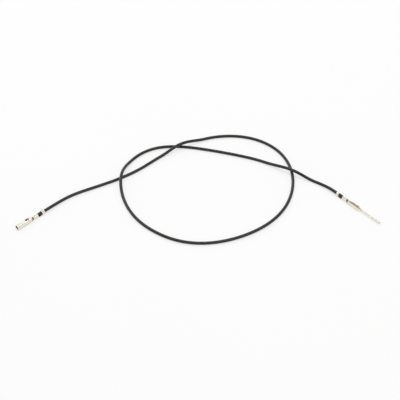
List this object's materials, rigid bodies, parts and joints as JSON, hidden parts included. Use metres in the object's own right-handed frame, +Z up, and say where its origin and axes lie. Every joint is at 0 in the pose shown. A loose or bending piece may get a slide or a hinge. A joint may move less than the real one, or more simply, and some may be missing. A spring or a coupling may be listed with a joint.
{
  "type": "breadboard jumper wire",
  "caption": "Insulated stranded wire in a loose overhand knot, with a crimped socket contact on one end and a crimped square pin contact on the other.",
  "frame": {"origin": "centre of the box round the whole wire, on the surface that it lies on", "axes": "+X from the socket end towards the pin end, +Z up from the surface, +Y across the knot towards its far side"},
  "size_m": [0.1226, 0.0574, 0.0024],
  "materials": {
    "insulation": "satin",
    "strands": "satin",
    "contacts": "gloss"
  },
  "bodies": {
    "root": {"insulation": "insulation", "strand_1": "strands", "strand_2": "strands", "strand_3": "strands", "strand_4": "strands", "strand_5": "strands", "strand_6": "strands", "strand_7": "strands", "female_terminal": "contacts", "male_terminal": "contacts"}
  },
  "joints": []
}
